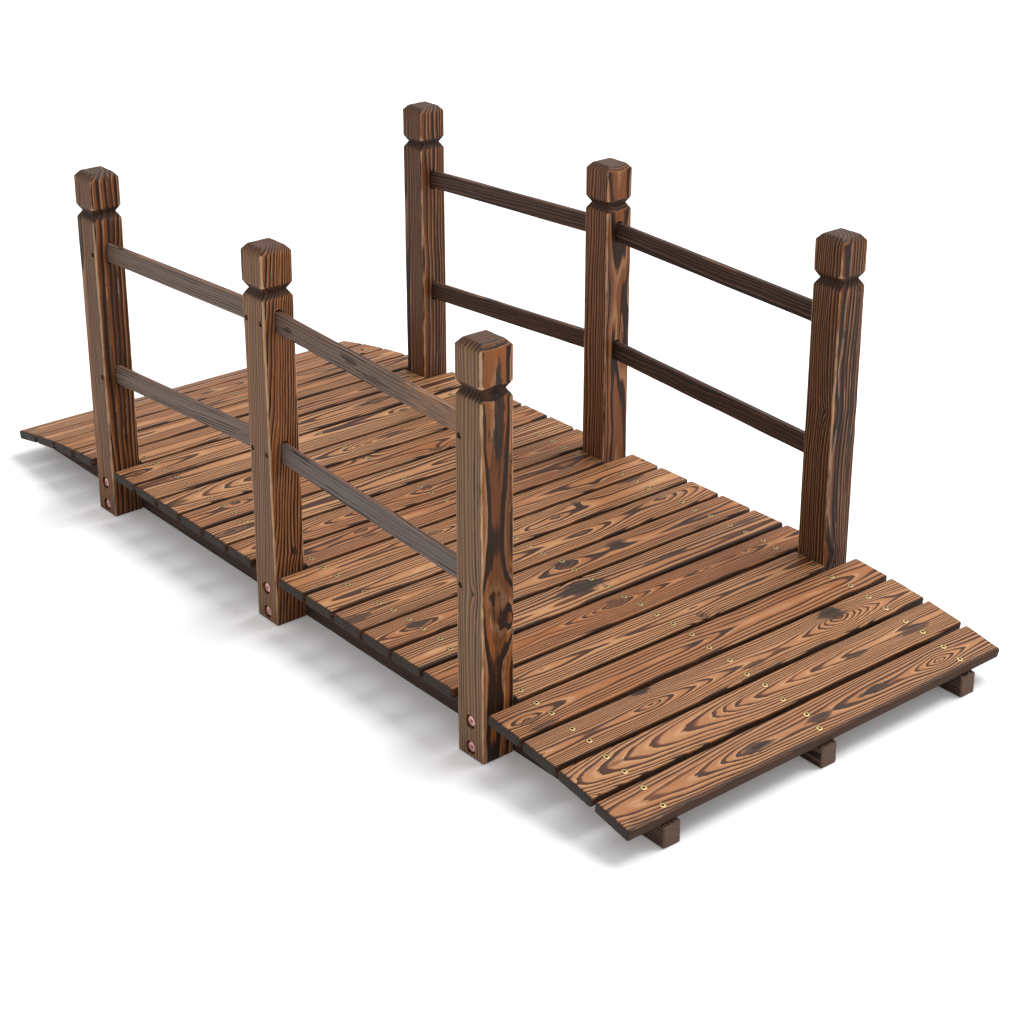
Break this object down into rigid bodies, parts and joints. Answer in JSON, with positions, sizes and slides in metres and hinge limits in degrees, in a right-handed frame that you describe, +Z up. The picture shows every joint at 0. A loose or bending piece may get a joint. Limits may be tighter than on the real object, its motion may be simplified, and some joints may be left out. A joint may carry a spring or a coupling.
{
  "type": "small wooden garden footbridge",
  "caption": "Low slatted wooden footbridge: flat stringers, a deck that dips at both ends, capped posts bolted outside and two-rail railings.",
  "frame": {"origin": "on the ground, below the middle of the deck", "axes": "+X along the walkway, +Y across it towards the right-hand railing, +Z up"},
  "size_m": [1.506, 0.668, 0.555],
  "materials": {
    "deck_wood": "scorched softwood, brushed grain, satin stain",
    "stringer_wood": "scorched softwood, dark, matt",
    "post_wood": "scorched softwood, brushed grain, satin stain",
    "rail_wood": "scorched softwood, dark, satin stain",
    "screw_steel": "yellow zinc plated",
    "bolt_steel": "zinc plated"
  },
  "bodies": {
    "root": {"deck_slat_01": "deck_wood", "deck_slat_02": "deck_wood", "deck_slat_03": "deck_wood", "deck_slat_04": "deck_wood", "deck_slat_05": "deck_wood", "deck_slat_06": "deck_wood", "deck_slat_07": "deck_wood", "deck_slat_08": "deck_wood", "deck_slat_09": "deck_wood", "deck_slat_10": "deck_wood", "deck_slat_11": "deck_wood", "deck_slat_12": "deck_wood", "deck_slat_13": "deck_wood", "deck_slat_14": "deck_wood", "deck_slat_15": "deck_wood", "deck_slat_16": "deck_wood", "deck_slat_17": "deck_wood", "deck_slat_18": "deck_wood", "deck_slat_19": "deck_wood", "deck_slat_20": "deck_wood", "deck_slat_21": "deck_wood", "deck_slat_22": "deck_wood", "deck_slat_23": "deck_wood", "stringer_left": "stringer_wood", "stringer_middle": "stringer_wood", "stringer_right": "stringer_wood", "post_left_rear": "post_wood", "post_left_middle": "post_wood", "post_left_front": "post_wood", "post_right_rear": "post_wood", "post_right_middle": "post_wood", "post_right_front": "post_wood", "rail_left_rear_lower": "rail_wood", "rail_left_rear_upper": "rail_wood", "rail_left_front_lower": "rail_wood", "rail_left_front_upper": "rail_wood", "rail_right_rear_lower": "rail_wood", "rail_right_rear_upper": "rail_wood", "rail_right_front_lower": "rail_wood", "rail_right_front_upper": "rail_wood"}
  },
  "joints": []
}
